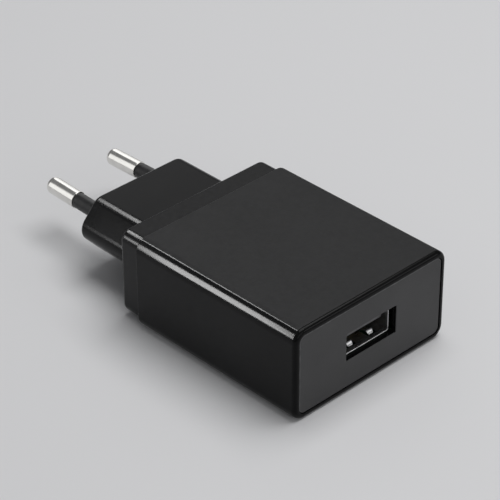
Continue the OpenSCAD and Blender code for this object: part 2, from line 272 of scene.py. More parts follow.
def plug_outline(inset, y):
    """The rounded six-sided section of the plug neck, inset all round, as a ring of points."""
    run = math.hypot(HEX_B, HEX_C - HEX_A)
    slope = math.degrees(math.atan2(HEX_C - HEX_A, HEX_B))
    b = HEX_B - inset
    a = HEX_A - inset * (run - HEX_C + HEX_A) / HEX_B
    c = HEX_C - inset * run / HEX_B
    arcs = (
        (c, 0, -slope, slope),
        (a, b, slope, 90),
        (-a, b, 90, 180 - slope),
        (-c, 0, 180 - slope, 180 + slope),
        (-a, -b, 180 + slope, 270),
        (a, -b, 270, 360 - slope),
    )
    points = []
    for cx, cz, start, end in arcs:
        for angle in spread(start, end, 9):
            t = math.radians(angle)
            points.append((cx + HEX_R * math.cos(t), y, MID_Z + cz + HEX_R * math.sin(t)))
    return points


def quarter_profile(radius, steps):
    """(inset, advance) pairs of a quarter-round edge, from the end face to the side."""
    pairs = []
    for k in range(steps + 1):
        a = math.radians(90 * k / steps)
        pairs.append((radius * (1 - math.sin(a)), radius * (1 - math.cos(a))))
    return pairs


# ---- housing sleeve ----

SEAM_X = PANEL_HALF + SEAM_GAP
SEAM_ANGLE = math.degrees(math.acos((SEAM_X - BODY_W / 2 + CORNER_R) / CORNER_R))
BEVEL_ANGLE = SEAM_ANGLE - math.degrees(MICRO / CORNER_R)


def seam_corner(inset, notched):
    """The sleeve's top right corner, side to top, as (x, z, in_notch) from the section's middle."""
    radius = CORNER_R - inset
    cx = BODY_W / 2 - CORNER_R
    cz = BODY_H / 2 - CORNER_R

    def on_arc(angle):
        a = math.radians(angle)
        return cx + radius * math.cos(a), cz + radius * math.sin(a)

    points = [(*on_arc(angle), False) for angle in spread(0, BEVEL_ANGLE, 12)]
    start = on_arc(BEVEL_ANGLE)
    corner = on_arc(SEAM_ANGLE)
    for t in (0.33, 0.67, 1.0):
        if notched:
            down = (corner[0], corner[1] - MICRO)
            x = mix(mix(start[0], corner[0], t), mix(corner[0], down[0], t), t)
            z = mix(mix(start[1], corner[1], t), mix(corner[1], down[1], t), t)
            points.append((x, z, False))
        else:
            points.append((*on_arc(mix(BEVEL_ANGLE, SEAM_ANGLE, t * 0.75)), False))
    points.append((corner[0], PANEL_FLOOR if notched else corner[1], notched))
    for angle in spread(SEAM_ANGLE, 90, 7)[1:]:
        x, z = on_arc(angle)
        points.append((x, PANEL_FLOOR if notched else z, True))
    return points


def sleeve_ring(inset, y, notched=False, notch_drop=None, notch_y=None):
    """One section of the sleeve. notch_drop and notch_y shape the edge where the panel's recess starts."""
    right = seam_corner(inset, notched)
    points = []
    for x, z, in_notch in right + [(-x, z, n) for x, z, n in reversed(right)]:
        here = y
        if in_notch and notch_drop is not None:
            z -= notch_drop
            here = notch_y
        points.append((x, here, MID_Z + z))
    radius = CORNER_R - inset
    cx = BODY_W / 2 - CORNER_R
    cz = BODY_H / 2 - CORNER_R
    for start, side in ((180, -1), (270, 1)):
        for angle in spread(start, start + 90, CORNER_STEPS):
            a = math.radians(angle)
            points.append((side * cx + radius * math.cos(a), y, MID_Z - cz + radius * math.sin(a)))
    return points


def inner_ring(inset, radius, y):
    """A plain section inside the sleeve, with as many points as sleeve_ring."""
    width = BODY_W / 2 - inset
    height = BODY_H / 2 - inset
    points = []
    tops = spread(0, 90, len(seam_corner(0, False)))
    corners = [(1, 1, 0, tops), (-1, 1, 90, tops)]
    plain = spread(0, 90, CORNER_STEPS)
    corners += [(-1, -1, 180, plain), (1, -1, 270, plain)]
    for sx, sz, start, angles in corners:
        for angle in angles:
            a = math.radians(start + angle)
            x = sx * (width - radius) + radius * math.cos(a)
            points.append((x, y, MID_Z + sz * (height - radius) + radius * math.sin(a)))
    return points


def build_sleeve():
    """The tube with its rounded front lip, the recess for the top panel and the board's guide rails."""
    bm = bmesh.new()
    rebate_r = 1.7
    rings = [
        inner_ring(WALL, 1.3, SLEEVE_END),
        inner_ring(WALL, 1.3, FRONT + 2.5),
        inner_ring(LIP_W, rebate_r, FRONT + 2.5),
        inner_ring(LIP_W, rebate_r, FRONT + MICRO),
        inner_ring(LIP_W - 0.035, rebate_r + 0.03, FRONT + 0.035),
        inner_ring(LIP_W - MICRO, rebate_r + 0.1, FRONT),
    ]
    for inset, advance in quarter_profile(LIP_ROUND, 10):
        rings.append(sleeve_ring(inset, FRONT + advance))
    edge = FRONT + LIP_ROUND
    rings.append(sleeve_ring(0, edge, notch_drop=0.006, notch_y=edge - 0.1))
    rings.append(sleeve_ring(0, edge, notch_drop=0.035, notch_y=edge - 0.03))
    rings.append(sleeve_ring(0, edge, notch_drop=MICRO, notch_y=edge))
    rings.append(sleeve_ring(0, edge, notched=True))
    rear_round = 0.3
    for inset, advance in reversed(quarter_profile(rear_round, 5)):
        rings.append(sleeve_ring(inset, SLEEVE_END - advance, notched=True))
    loft(bm, rings, closed=True)
    # guide rails above and below each side of the board
    board_low, board_high = box_mm("main_board")
    rail_in = board_high.x - 1.2
    rail_out = BODY_W / 2 - WALL + 0.1
    rail_h = 1
    for side in (-1, 1):
        for z in (board_low.z - 0.3, board_low.z + 2.1):
            xs = sorted((side * rail_in, side * rail_out))
            add_box(bm, (xs[0], FRONT + 6, z), (xs[1], FRONT + 38, z + rail_h))
    return mesh_object("sleeve_shell", bm)


# ---- top panel ----

def panel_ring(y, shrink):
    """One section of the panel, pulled in all round by shrink."""
    cx = BODY_W / 2 - CORNER_R
    cz = BODY_H / 2 - CORNER_R
    radius = CORNER_R - shrink
    edge_x = PANEL_HALF - shrink
    edge_angle = math.degrees(math.acos((edge_x - cx) / radius))
    bevel_angle = edge_angle + math.degrees(PANEL_EDGE / CORNER_R)
    corner = (edge_x, cz + radius * math.sin(math.radians(edge_angle)))
    half = [(edge_x, PANEL_FLOOR + 0.01), (edge_x, corner[1] - PANEL_EDGE)]
    end = math.radians(bevel_angle)
    after = (cx + radius * math.cos(end), cz + radius * math.sin(end))
    for t in (0.2, 0.4, 0.6, 0.8):
        x = mix(corner[0], mix(corner[0], after[0], t), t)
        z = mix(mix(corner[1] - PANEL_EDGE, corner[1], t), mix(corner[1], after[1], t), t)
        half.append((x, z))
    for angle in spread(bevel_angle, 90, 8):
        a = math.radians(angle)
        half.append((cx + radius * math.cos(a), cz + radius * math.sin(a)))
    points = half + [(-x, z) for x, z in reversed(half)]
    return [(x, y, MID_Z + z) for x, z in points]


def build_panel():
    """The thin sheet let into the sleeve's top, with bevelled long edges."""
    bm = bmesh.new()
    start = panel_low.y
    end = panel_high.y
    rings = []
    for shrink, advance in quarter_profile(MICRO, 4):
        rings.append(panel_ring(start + advance, shrink))
    for shrink, advance in reversed(quarter_profile(0.25, 5)):
        rings.append(panel_ring(end - advance, shrink))
    made = loft(bm, rings)
    fill_flat(bm, [made[0]])
    fill_flat(bm, [made[-1]])
    return mesh_object("panel_sheet", bm)


# ---- front plate ----

def build_plate():
    """The front plate: a bevelled rim, a flat face and the rounded mouth of the port's opening."""
    bm = bmesh.new()
    width = plate_high.x - plate_low.x
    height = plate_high.z - plate_low.z
    front = plate_low.y
    back = plate_high.y
    bevel = 0.35
    mouth = 0.18
    rings = [soft_rect(width, height, PLATE_R, back)]
    for inset, advance in reversed(quarter_profile(bevel, 6)):
        rings.append(soft_rect(width - 2 * inset, height - 2 * inset, PLATE_R - inset, front + advance))
    # two close rings at each side keep the shading of the bevels off the face
    for inset in (bevel + 0.12, bevel + 0.24):
        rings.append(soft_rect(width - 2 * inset, height - 2 * inset, PLATE_R - inset, front))
    for inset in (mouth + 0.24, mouth + 0.12):
        rings.append(soft_rect(PORT_W + 2 * inset, PORT_H + 2 * inset, PORT_R + inset, front, PORT_Z))
    for inset, advance in quarter_profile(mouth, 4):
        y = front + advance
        rings.append(soft_rect(PORT_W + 2 * inset, PORT_H + 2 * inset, PORT_R + inset, y, PORT_Z))
    rings.append(soft_rect(PORT_W, PORT_H, PORT_R, back, PORT_Z))
    loft(bm, rings, closed=True)
    plate = mesh_object("plate_bezel", bm)
    # the walls of the opening are polished and darker, painted shade, and the outer bevel is paler, a
    # painted highlight, unlike the grained face
    for face in plate.data.polygons:
        x, _, z = face.center / MM
        in_opening = abs(x) < PORT_W / 2 + 0.02 and abs(z - PORT_Z) < PORT_H / 2 + 0.02
        far_out = abs(x) > PORT_W or abs(z - MID_Z) > PORT_H
        if in_opening:
            face.material_index = 1
        elif far_out and 0.1 < -face.normal.y < 0.98:
            face.material_index = 2
    return plate


# ---- USB receptacle ----

SHELL_CORNER = 6
# the edges of a shell section that lie across a window
WINDOW_EDGES = (
    SHELL_CORNER,
    SHELL_CORNER + 2,
    3 * SHELL_CORNER + 4,
    3 * SHELL_CORNER + 6,
)


def shell_section(inset, radius, y):
    """One section of the USB shell, with points at both sides of each window for a spring leaf."""
    half_w = SHELL_W / 2 - inset - radius
    half_h = SHELL_H / 2 - inset - radius
    stops = [LEAF_X + WINDOW_HALF, LEAF_X - WINDOW_HALF, WINDOW_HALF - LEAF_X, -LEAF_X - WINDOW_HALF]
    points = []
    for sx, sz, start in ((1, 1, 0), (-1, 1, 90), (-1, -1, 180), (1, -1, 270)):
        for angle in spread(start, start + 90, SHELL_CORNER):
            a = math.radians(angle)
            z = MID_Z + sz * half_h + radius * math.sin(a)
            points.append((sx * half_w + radius * math.cos(a), y, z))
        if start in (0, 180):
            points += [(sz * x, y, MID_Z + sz * (half_h + radius)) for x in stops]
    return points


def build_port_shell():
    """The folded steel shell: a tube with a rounded rim, four windows and feet through the board."""
    bm = bmesh.new()
    rim = quarter_profile(SHELL_T / 2, 4)
    outer = [shell_section(inset, 0.6 - inset, SHELL_Y + advance) for inset, advance in rim]
    inner = [shell_section(SHELL_T - inset, 0.3 + inset, SHELL_Y + advance) for inset, advance in rim]
    for y in (WINDOW_START, WINDOW_END, SHELL_Y + SHELL_L):
        outer.append(shell_section(0, 0.6, y))
        inner.append(shell_section(SHELL_T, 0.3, y))
    outer = [add_ring(bm, ring) for ring in outer]
    inner = [add_ring(bm, ring) for ring in inner]
    count = len(outer[0])
    for row in range(len(outer) - 1):
        for i in range(count):
            j = (i + 1) % count
            out_quad = (outer[row][i], outer[row][j], outer[row + 1][j], outer[row + 1][i])
            in_quad = (inner[row][i], inner[row][j], inner[row + 1][j], inner[row + 1][i])
            if row == len(rim) and i in WINDOW_EDGES:
                for a in range(4):
                    b = (a + 1) % 4
                    bm.faces.new((out_quad[a], out_quad[b], in_quad[b], in_quad[a]))
            else:
                bm.faces.new(out_quad)
                bm.faces.new(in_quad)
    bridge(bm, outer[-1], inner[-1])
    board_low = box_mm("main_board")[0]
    for side in (-1, 1):
        xs = sorted((side * (SHELL_W / 2 - SHELL_T), side * SHELL_W / 2))
        for y in (FRONT + 5.4, FRONT + 11.6):
            add_box(bm, (xs[0], y, board_low.z), (xs[1], y + 1.6, MID_Z - 1.5))
    return mesh_object("port_shell", bm)


def strip_ring(x, width, y, z, half):
    """A section of a bent strip: a flat rectangle with softened corners."""
    soft = half * 0.45
    points = []
    for sx, sz, start in ((1, 1, 0), (-1, 1, 90), (-1, -1, 180), (1, -1, 270)):
        for angle in spread(start, start + 90, 4):
            a = math.radians(angle)
            across = sx * (width / 2 - soft) + soft * math.cos(a)
            up = sz * (half - soft) + soft * math.sin(a)
            points.append((x + across, y, z + up))
    return points


def build_leaf(name, side, above):
    """A spring leaf of the shell: a narrowing strip with a smooth raised pad behind its tip."""
    bm = bmesh.new()
    rings = []
    along = [0, 0.04] + spread(0.1, 2.6, 26) + [LEAF_ROOT - LEAF_TIP]
    for s in along:
        fade = 1 - 0.4 * (1 - min(s, 0.1) / 0.1) ** 2
        pad = ease(s / 0.85) * (1 - ease((s - 1.5) / 1.1))
        slope = 0.3 * math.sin(math.pi * min(s / 0.85, 1))
        half = SHELL_T / 2 * fade * (1 + slope)
        width = LEAF_W - 0.6 * (1 - min(s, 1.6) / 1.6) ** 2
        z = SHELL_T / 2 + LEAF_PAD * pad
        rings.append(strip_ring(side * LEAF_X, width * fade ** 0.5, FRONT + LEAF_TIP + s, z, half))
    bottom = MID_Z - SHELL_H / 2
    rings = [[(x, y, bottom + z) for x, y, z in ring] for ring in rings]
    if above:
        rings = [[(x, y, 2 * MID_Z - z) for x, y, z in ring] for ring in rings]
    made = loft(bm, rings)
    fill_flat(bm, [made[0]])
    fill_flat(bm, [made[-1]])
    return mesh_object(name, bm)


def build_contact(name, x):
    """A contact finger: a thin strip from its root in the block to a curled tip with a raised point."""
    bm = bmesh.new()
    rings = []
    for s in [0, 0.03] + spread(0.15, CONTACT_L, 36):
        fade = 1 - 0.4 * (1 - min(s, 0.15) / 0.15) ** 2
        drop = 0.31 * min((CONTACT_L - s) / 4.6, 1) + 0.36 * ease((2.8 - s) / 1.2)
        lift = 0.58 * ease((1.2 - s) / 1.2)
        z = TONGUE_LOW + 0.45 - drop + lift
        y = CONTACT_ROOT - CONTACT_L + s
        rings.append(strip_ring(x, CONTACT_W * fade ** 0.5, y, z, 0.11 * fade))
    made = loft(bm, rings)
    fill_flat(bm, [made[0]])
    fill_flat(bm, [made[-1]])
    return mesh_object(name, bm)


def tongue_ring(y, inset, low, grooved):
    """One section of the tongue, with the four grooves for the contacts where grooved is set."""
    half = TONGUE_W / 2 - inset
    high = TONGUE_HIGH - inset
    points = [(-half, high), (half, high), (half, low)]
    for x in sorted(CONTACT_X.values(), reverse=True):
        depth = GROOVE_DEPTH if grooved else 0
        inner_half = GROOVE_HALF - (0 if grooved else 0.02)
        points += [(x + GROOVE_HALF, low), (x + inner_half, low + depth)]
        points += [(x - inner_half, low + depth), (x - GROOVE_HALF, low)]
    points.append((-half, low))
    return [(x, y, z) for x, z in points]


def build_tongue():
    """The plastic tongue with its bevelled tip, and the block that holds it at the back of the shell."""
    bm = bmesh.new()
    made = loft(bm, [
        tongue_ring(TONGUE_Y, 0.14, TONGUE_LOW + 0.5, False),
        tongue_ring(TONGUE_Y + 0.05, 0.05, TONGUE_LOW + 0.44, False),
        tongue_ring(TONGUE_Y + 0.16, 0, TONGUE_LOW + 0.33, False),
        tongue_ring(TONGUE_Y + 0.46, 0, TONGUE_LOW + 0.03, False),
        tongue_ring(TONGUE_Y + 0.56, 0, TONGUE_LOW, False),
        tongue_ring(GROOVE_Y, 0, TONGUE_LOW, False),
        tongue_ring(GROOVE_Y, 0, TONGUE_LOW, True),
        tongue_ring(BLOCK_Y, 0, TONGUE_LOW, True),
    ])
    fill_flat(bm, [made[0]])
    fill_flat(bm, [made[-1]])
    block_end = SHELL_Y + SHELL_L
    low = MID_Z - SHELL_H / 2 + SHELL_T + 0.1
    board_top = box_mm("main_board")[1].z
    steps = (
        (BLOCK_Y, BLOCK_Y + 2.2, low, low + 4.92),
        (BLOCK_Y + 2.2, block_end + 0.1, MID_Z - 2, MID_Z + 2),
        (block_end + 0.1, block_end + 0.8, board_top, board_top + 4),
    )
    for y_low, y_high, z_low, z_high in steps:
        add_box(bm, (-BLOCK_HALF_W, y_low, z_low), (BLOCK_HALF_W, y_high, z_high))
    return mesh_object("port_tongue", bm)


# ---- rear cap with the plug neck ----

def pin_ring(side, radius, along, count=64):
    """A circle round a pin's axis, along mm from the neck's end face."""
    tilt = Matrix.Rotation(side * PIN_TILT, 3, "Z")
    root = Vector((side * PIN_X, NECK_END, MID_Z))
    points = []
    for k in range(count):
        a = 2 * math.pi * k / count
        local = Vector((radius * math.cos(a), along, radius * math.sin(a)))
        points.append(tuple(root + tilt @ local))
    return points


def flat_pin_ring(side, radius, y, count=48):
    """The same circle where it crosses a plane of constant y."""
    points = []
    along = (y - NECK_END) / math.cos(PIN_TILT)
    cx = side * (PIN_X - along * math.sin(PIN_TILT))
    for k in range(count):
        a = 2 * math.pi * k / count
        x = cx + radius * math.cos(a) / math.cos(PIN_TILT)
        points.append((x, y, MID_Z + radius * math.sin(a)))
    return points


def build_cap():
    """The cap block with its spigot, and the hollow plug neck with the two holes for the pins."""
    bm = bmesh.new()
    spigot_w = BODY_W - 2 * WALL - 2 * SEAM_GAP
    spigot_h = BODY_H - 2 * WALL - 2 * SEAM_GAP
    hollow_w = BODY_W - 2 * WALL - 2 * CAP_WALL
    hollow_h = BODY_H - 2 * WALL - 2 * CAP_WALL
    hollow_end = CAP_END - CAP_WALL
    # cap block, from the hollow's mouth round the outside to the stepped end face
    block_rings = [
        soft_rect(hollow_w, hollow_h, 1, hollow_end),
        soft_rect(hollow_w, hollow_h, 1, SPIGOT_Y),
        soft_rect(spigot_w, spigot_h, 1.25, SPIGOT_Y),
        soft_rect(spigot_w, spigot_h, 1.25, SLEEVE_END),
        soft_rect(CAP_W - 2 * MICRO, CAP_H - 2 * MICRO, CAP_R - MICRO, SLEEVE_END),
        soft_rect(CAP_W, CAP_H, CAP_R, SLEEVE_END + MICRO),
    ]
    for inset, advance in reversed(quarter_profile(CAP_ROUND, 9)):
        y = CAP_END - advance
        block_rings.append(soft_rect(CAP_W - 2 * inset, CAP_H - 2 * inset, CAP_R - inset, y))
    block = loft(bm, block_rings)
    # neck outside: a small concave flare at its root and a rounded end edge
    neck_rings = [plug_outline(-inset, CAP_END + advance) for inset, advance in quarter_profile(FLARE, 6)]
    for inset, advance in reversed(quarter_profile(NECK_ROUND, 7)):
        neck_rings.append(plug_outline(inset, NECK_END - advance))
    neck = loft(bm, neck_rings)
    # neck inside
    inside = loft(bm, [
        plug_outline(NECK_WALL, hollow_end),
        plug_outline(NECK_WALL, NECK_END - END_WALL),
    ])
    holes = []
    for side in (-1, 1):
        holes.append(loft(bm, [
            flat_pin_ring(side, PIN_HOLE_R + 0.15, NECK_END),
            flat_pin_ring(side, PIN_HOLE_R + 0.03, NECK_END - 0.06),
            flat_pin_ring(side, PIN_HOLE_R, NECK_END - 0.18),
            flat_pin_ring(side, PIN_HOLE_R, NECK_END - END_WALL),
        ]))
    fill_flat(bm, [block[-1], neck[0]])
    fill_flat(bm, [block[0], inside[0]])
    fill_flat(bm, [neck[-1]] + [hole[0] for hole in holes])
    fill_flat(bm, [inside[-1]] + [hole[-1] for hole in holes])
    return mesh_object("cap_moulding", bm)


# ---- pins ----

def turned(name, side, profile):
    """A round piece turned about a pin's axis from (radius, along) pairs, from the axis or a bore."""
    bm = bmesh.new()
    rings = [pin_ring(side, radius, along) for radius, along in profile if radius > 0]
    closed = profile[0][0] > 0
    made = loft(bm, rings, closed=closed)
    if not closed:
        fill_flat(bm, [made[0]])
        fill_flat(bm, [made[-1]])
    return mesh_object(name, bm)


def build_pin(side, name):
    """A solder tail, a collar behind the neck's end wall, a waist for the sleeve and a rounded tip."""
    tip = 1.5
    profile = [(0, -13), (1.05, -13), (1.2, -12.85), (1.2, -4.4), (2.7, -4.4), (2.8, -4.3)]
    profile += [(2.8, -END_WALL), (PIN_R, -END_WALL), (PIN_R, -0.8), (PIN_NECK_R, -0.8)]
    profile += [(PIN_NECK_R, INSULATED_L), (PIN_R - 0.16, INSULATED_L)]
    profile += [(PIN_R - 0.05, INSULATED_L + 0.05), (PIN_R, INSULATED_L + 0.16)]
    for k in range(13):
        a = math.radians(90 * k / 12)
        profile.append((PIN_R - tip + tip * math.cos(a), PIN_L - tip + tip * math.sin(a)))
    profile.append((0, PIN_L))
    return turned(name, side, profile)


def build_pin_sleeve(side, name):
    """The insulating sleeve, with a little play on the pin's waist and a rounded outer end."""
    end = INSULATED_L - 0.02
    bore = PIN_NECK_R + 0.02
    r = PIN_SLEEVE_R
    profile = [
        (bore, -0.78),
        (r, -0.78),
        (r, end - 0.5),
        (r - 0.01, end - 0.12),
        (r - 0.04, end - 0.03),
        (r - 0.1, end),
        (bore, end),
    ]
    return turned(name, side, profile)


# ---- materials ----

class Nodes:
    """Short calls for building one material's node tree."""

    def __init__(self, name):
        self.material = bpy.data.materials.new(name)
        self.material.use_nodes = True
        self.tree = self.material.node_tree
        self.shader = self.tree.nodes["Principled BSDF"]
        self.coords = self.tree.nodes.new("ShaderNodeTexCoord").outputs["Object"]

    def link(self, output, socket):
        self.tree.links.new(output, socket)

    def set(self, **values):
        for key, value in values.items():
            self.shader.inputs[key.replace("_", " ")].default_value = value

    def stretched(self, scale):
        node = self.tree.nodes.new("ShaderNodeMapping")
        node.inputs["Scale"].default_value = scale
        self.link(self.coords, node.inputs["Vector"])
        return node.outputs["Vector"]

    def noise(self, scale, detail=4.0, roughness=0.55, vector=None):
        node = self.tree.nodes.new("ShaderNodeTexNoise")
        node.inputs["Scale"].default_value = scale
        node.inputs["Detail"].default_value = detail
        node.inputs["Roughness"].default_value = roughness
        self.link(vector or self.coords, node.inputs["Vector"])
        return node.outputs["Fac"]

    def cell_walls(self, scale):
        """The distance to the nearest wall between irregular cells."""
        node = self.tree.nodes.new("ShaderNodeTexVoronoi")
        node.feature = "DISTANCE_TO_EDGE"
        node.inputs["Scale"].default_value = scale
        self.link(self.coords, node.inputs["Vector"])
        return node.outputs["Distance"]

    def ramp(self, source, stops):
        node = self.tree.nodes.new("ShaderNodeValToRGB")
        while len(node.color_ramp.elements) < len(stops):
            node.color_ramp.elements.new(0.5)
        for element, (place, colour) in zip(node.color_ramp.elements, stops):
            element.position = place
            element.color = (*colour, 1)
        self.link(source, node.inputs["Fac"])
        return node.outputs["Color"]

    def to_range(self, source, low, high, from_low=0.3, from_high=0.7):
        node = self.tree.nodes.new("ShaderNodeMapRange")
        node.inputs["From Min"].default_value = from_low
        node.inputs["From Max"].default_value = from_high
        node.inputs["To Min"].default_value = low
        node.inputs["To Max"].default_value = high
        self.link(source, node.inputs["Value"])
        return node.outputs["Result"]

    def math(self, operation, a, b):
        node = self.tree.nodes.new("ShaderNodeMath")
        node.operation = operation
        for socket, value in zip(node.inputs, (a, b)):
            if isinstance(value, float):
                socket.default_value = value
            else:
                self.link(value, socket)
        return node.outputs["Value"]

    def blend(self, factor, a, b):
        node = self.tree.nodes.new("ShaderNodeMix")
        node.data_type = "RGBA"
        self.link(factor, node.inputs["Factor"])
        for key, value in (("A", a), ("B", b)):
            socket = [s for s in node.inputs if s.name == key and s.type == "RGBA"][0]
            if isinstance(value, tuple):
                socket.default_value = (*value, 1)
            else:
                self.link(value, socket)
        return [s for s in node.outputs if s.type == "RGBA"][0]

    def painted_edge_highlight(self):
        """A painted highlight that grows along outer edges, where they catch the light. A flat face has
        pointiness 0.5.
        """
        pointiness = self.tree.nodes.new("ShaderNodeNewGeometry").outputs["Pointiness"]
        return self.to_range(pointiness, 0.0, 1.0, 0.505, 0.53)

    def bump(self, height, strength, distance, previous=None):
        node = self.tree.nodes.new("ShaderNodeBump")
        node.inputs["Strength"].default_value = strength
        node.inputs["Distance"].default_value = distance
        self.link(height, node.inputs["Height"])
        if previous is not None:
            self.link(previous, node.inputs["Normal"])
        return node.outputs["Normal"]

    def finish(self, colour=None, roughness=None, normal=None):
        if colour is not None:
            self.link(colour, self.shader.inputs["Base Color"])
        if roughness is not None:
            self.link(roughness, self.shader.inputs["Roughness"])
        if normal is not None:
            self.link(normal, self.shader.inputs["Normal"])
        return self.material


def grey(value):
    return (value, value, value * 1.03)


def moulded(name, dark, light, rough, ior, grain, grain_height, highlight_gain=2.2):
    """Moulded black plastic: faint colour flow, patchy gloss and fine grain.

    Its edges carry a painted highlight, paler by the factor of the last argument.
    """
    n = Nodes(name)
    n.set(IOR=ior)
    flow = n.noise(60, 3)
    tone = n.ramp(flow, ((0.3, grey(dark)), (0.7, grey(light))))
    # painted highlight on the outer edges, in patches along them
    edge_highlight = n.math("MULTIPLY", n.painted_edge_highlight(), n.to_range(n.noise(900, 4), 0.0, 0.6))
    colour = n.blend(edge_highlight, tone, grey(light * highlight_gain))
    patches = n.to_range(n.noise(140, 5, 0.6), rough[0], rough[1])
    roughness = n.math("ADD", patches, n.to_range(n.noise(grain * 0.7, 2), -0.02, 0.02))
    fine = n.bump(n.noise(grain, 2, 0.6), 0.35, grain_height)
    normal = n.bump(n.noise(35, 2), 0.15, 0.0001, fine)
    return n.finish(colour, roughness, normal)


def gloss_black():
    return moulded("gloss_black", 0.0018, 0.003, (0.14, 0.18), 1.2, 2600, 0.000004)


def matte_black():
    return moulded("matte_black", 0.006, 0.008, (0.36, 0.44), 1.36, 2900, 0.00003)


def matte_grey_black():
    return moulded("matte_grey_black", 0.028, 0.035, (0.42, 0.5), 1.45, 2900, 0.00003, highlight_gain=1.0)


# the plate's outer bevel: a paler copy of the face's grey black, a painted highlight
def rubbed_grey_black():
    return moulded("rubbed_grey_black", 0.06, 0.085, (0.36, 0.46), 1.45, 2900, 0.00002)


def satin_black():
    return moulded("satin_black", 0.004, 0.006, (0.19, 0.25), 1.27, 2400, 0.00001)


def sleeve_black():
    return moulded("sleeve_black", 0.012, 0.018, (0.28, 0.36), 1.35, 3200, 0.00001)


def nickel_plate():
    """Drawn and plated brass: fine scratches along the pin and faint rubbing marks from sockets."""
    n = Nodes("nickel_plate")
    n.set(Metallic=1.0)
    along = n.stretched((2600, 60, 2600))
    drawn = n.noise(1.0, 4, 0.7, along)
    patches = n.noise(420, 4)
    colour = n.ramp(patches, ((0.3, (0.74, 0.73, 0.7)), (0.7, (0.83, 0.82, 0.79))))
    roughness = n.math("ADD", n.to_range(drawn, 0.1, 0.2), n.to_range(patches, 0.0, 0.06))
    normal = n.bump(drawn, 0.25, 0.000006)
    return n.finish(colour, roughness, normal)


def metal(name, dark, light, rough, stretch):
    """Stamped or rolled metal. Its rolling marks run along the axis with the smallest stretch."""
    n = Nodes(name)
    n.set(Metallic=1.0)
    marks = n.noise(1.0, 4, 0.65, n.stretched(stretch))
    patches = n.noise(500, 4)
    colour = n.ramp(patches, ((0.3, dark), (0.7, light)))
    roughness = n.math("ADD", n.to_range(marks, rough[0], rough[1]), n.to_range(patches, 0.0, 0.05))
    normal = n.bump(marks, 0.3, 0.00001)
    return n.finish(colour, roughness, normal)


def receptacle_steel():
    return metal("receptacle_steel", (0.5, 0.5, 0.5), (0.62, 0.62, 0.63), (0.22, 0.34), (300, 3200, 3200))


def gold_contact():
    return metal("gold_contact", (0.76, 0.55, 0.22), (0.9, 0.7, 0.34), (0.16, 0.26), (3000, 200, 3000))


def spring_brass():
    return metal("spring_brass", (0.6, 0.44, 0.18), (0.75, 0.58, 0.27), (0.25, 0.4), (2500, 200, 2500))


def capacitor_can():
    return metal("capacitor_can", (0.55, 0.56, 0.58), (0.7, 0.7, 0.72), (0.22, 0.36), (2000, 2000, 150))


def enamelled_copper():
    """Round wire wound close: a wavy height across the winding's length."""
    n = Nodes("enamelled_copper")
    n.set(Metallic=0.85, Coat_Weight=0.5)
    wave = n.tree.nodes.new("ShaderNodeTexWave")
    wave.bands_direction = "Y"
    wave.inputs["Scale"].default_value = 900
    wave.inputs["Distortion"].default_value = 0.6
    n.link(n.coords, wave.inputs["Vector"])
    turns = wave.outputs["Fac"]
    colour = n.ramp(turns, ((0.0, (0.2, 0.07, 0.02)), (1.0, (0.62, 0.28, 0.1))))
    return n.finish(colour, n.to_range(n.noise(600), 0.22, 0.38), n.bump(turns, 0.8, 0.0001))


def plain(name, dark, light, rough, scale=400, grain=2200, height=0.00002, **sockets):
    """A solid material with mottled colour, uneven gloss and a grain."""
    n = Nodes(name)
    n.set(**sockets)
    mottle = n.noise(scale, 4)
    colour = n.ramp(mottle, ((0.3, dark), (0.7, light)))
    roughness = n.to_range(n.noise(scale * 2.3, 3), rough[0], rough[1])
    return n.finish(colour, roughness, n.bump(n.noise(grain, 3), 0.4, height))


def receptacle_plastic():
    return plain("receptacle_plastic", grey(0.09), grey(0.12), (0.4, 0.55))


def fuse_ceramic():
    return plain("fuse_ceramic", (0.72, 0.68, 0.55), (0.85, 0.82, 0.7), (0.25, 0.4))


def chip_epoxy():
    return plain("chip_epoxy", grey(0.012), grey(0.025), (0.45, 0.65), 900, 4200, 0.00003)


def capacitor_sleeve():
    return plain("capacitor_sleeve", (0.012, 0.014, 0.02), (0.02, 0.024, 0.04), (0.22, 0.34), 250, 1500)


def ferrite():
    return plain("ferrite", grey(0.03), grey(0.06), (0.55, 0.75), 1200, 3800, 0.00006)


def bobbin_plastic():
    return plain("bobbin_plastic", (0.52, 0.48, 0.36), (0.62, 0.58, 0.45), (0.4, 0.55))


def yellow_tape():
    return plain("yellow_tape", (0.72, 0.52, 0.08), (0.82, 0.62, 0.12), (0.18, 0.3), 180, 900, 0.00003)


def blue_ceramic():
    return plain("blue_ceramic", (0.03, 0.1, 0.32), (0.05, 0.15, 0.45), (0.2, 0.35), 700, 1400, 0.00006)


def chip_ceramic():
    return plain("chip_ceramic", (0.2, 0.14, 0.09), (0.34, 0.25, 0.17), (0.35, 0.5), 1800)


def insulating_paper():
    return plain("insulating_paper", (0.66, 0.63, 0.5), (0.76, 0.73, 0.6), (0.6, 0.8), 300, 2600, 0.00006)


def board_green():
    """Solder mask over copper tracks, seen as paler bands with slightly raised edges."""
    n = Nodes("board_green")
    n.set(Coat_Weight=0.4)
    tracks = n.to_range(n.cell_walls(190), 1.0, 0.0, 0.08, 0.12)
    colour = n.blend(tracks, (0.006, 0.05, 0.018), (0.012, 0.1, 0.035))
    roughness = n.to_range(n.noise(700), 0.22, 0.36)
    normal = n.bump(n.noise(3000), 0.3, 0.00002, n.bump(tracks, 0.5, 0.00004))
    return n.finish(colour, roughness, normal)


MAKERS = [
    gloss_black, matte_black, matte_grey_black, rubbed_grey_black, satin_black, sleeve_black,
    nickel_plate, spring_brass, board_green, fuse_ceramic, chip_epoxy, capacitor_sleeve, ferrite,
    bobbin_plastic, enamelled_copper, yellow_tape, blue_ceramic, chip_ceramic, capacitor_can,
    insulating_paper, receptacle_steel, receptacle_plastic, gold_contact,
]
MATERIALS = {maker.__name__: maker() for maker in MAKERS}


